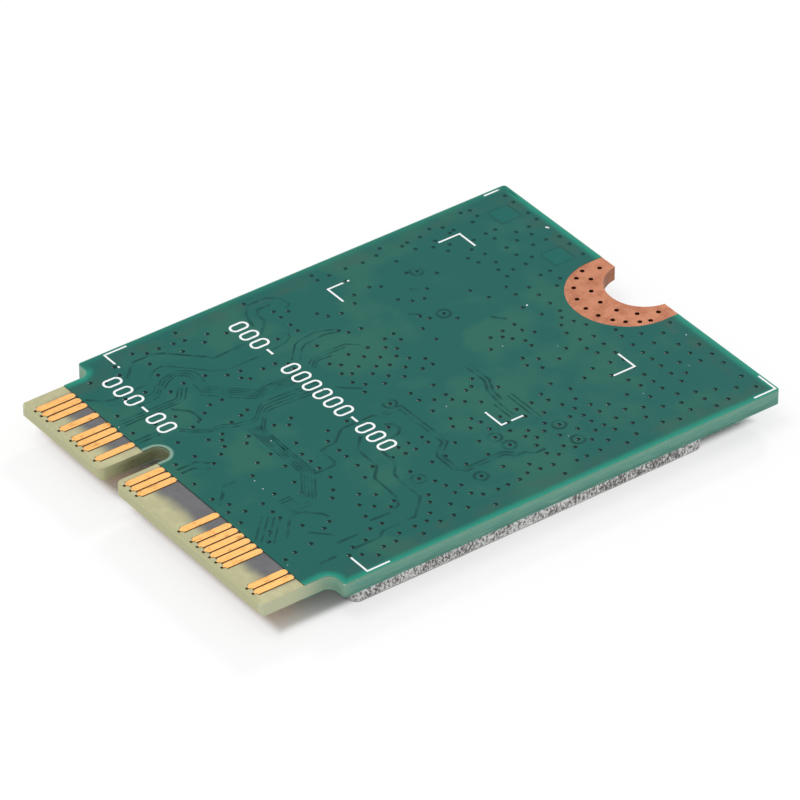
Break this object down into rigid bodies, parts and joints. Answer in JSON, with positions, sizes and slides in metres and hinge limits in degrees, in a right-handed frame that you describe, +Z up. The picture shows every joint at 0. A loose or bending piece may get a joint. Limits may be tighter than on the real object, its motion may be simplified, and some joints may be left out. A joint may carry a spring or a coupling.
{
  "type": "laptop wifi card",
  "caption": "Thin plug-in circuit board with edge contacts and a key slot, a half-round screw notch in a copper pad, and a flat metal shield over its lower face.",
  "frame": {"origin": "under the middle of the card, on the flat outside of the shield cover that it lies on", "axes": "+X along the board from the contact edge to the screw notch, +Y across the board towards the key slot's side, +Z up, out of the board's back"},
  "size_m": [0.03, 0.022, 0.002],
  "materials": {
    "laminate": "satin woven glass and resin",
    "solder_mask": "semi-gloss green lacquer",
    "gold": "soft gold plating",
    "copper": "bare copper with a dull coating",
    "print": "matt white ink",
    "solder": "bright solder",
    "tin": "matt tin plating",
    "shield_sheet": "mottled tinned sheet",
    "moulding": "matt black moulding",
    "white_ceramic": "matt ceramic",
    "tan_ceramic": "matt ceramic",
    "ferrite": "matt pressed ferrite",
    "socket_plastic": "matt heat-proof plastic",
    "film": "glazed resistor film"
  },
  "bodies": {
    "root": {"board_laminate": "laminate", "back_mask": "solder_mask", "component_mask": "solder_mask", "back_contacts": "gold", "component_contacts": "gold", "screw_pad": "copper", "back_legend": "print", "component_lands": "gold", "solder_joints": "solder", "shield_frame": "shield_sheet", "shield_cover": "shield_sheet", "shield_solder": "solder", "antenna_socket_bases": "socket_plastic", "antenna_socket_shells": "gold", "antenna_socket_pins": "gold", "radio_chip": "moulding", "radio_leads": "tin", "radio_ground_pad": "tin", "front_end_chips": "moulding", "front_end_leads": "tin", "regulator_chip": "moulding", "regulator_leads": "tin", "memory_chip": "moulding", "memory_leads": "tin", "crystal_case": "tan_ceramic", "crystal_lid": "tin", "crystal_terminals": "gold", "power_inductors": "ferrite", "inductor_terminals": "tin", "band_filters": "white_ceramic", "filter_terminals": "tin", "capacitors": "tan_ceramic", "capacitor_terminals": "tin", "resistors": "white_ceramic", "resistor_terminals": "tin", "resistor_films": "film"}
  },
  "joints": []
}
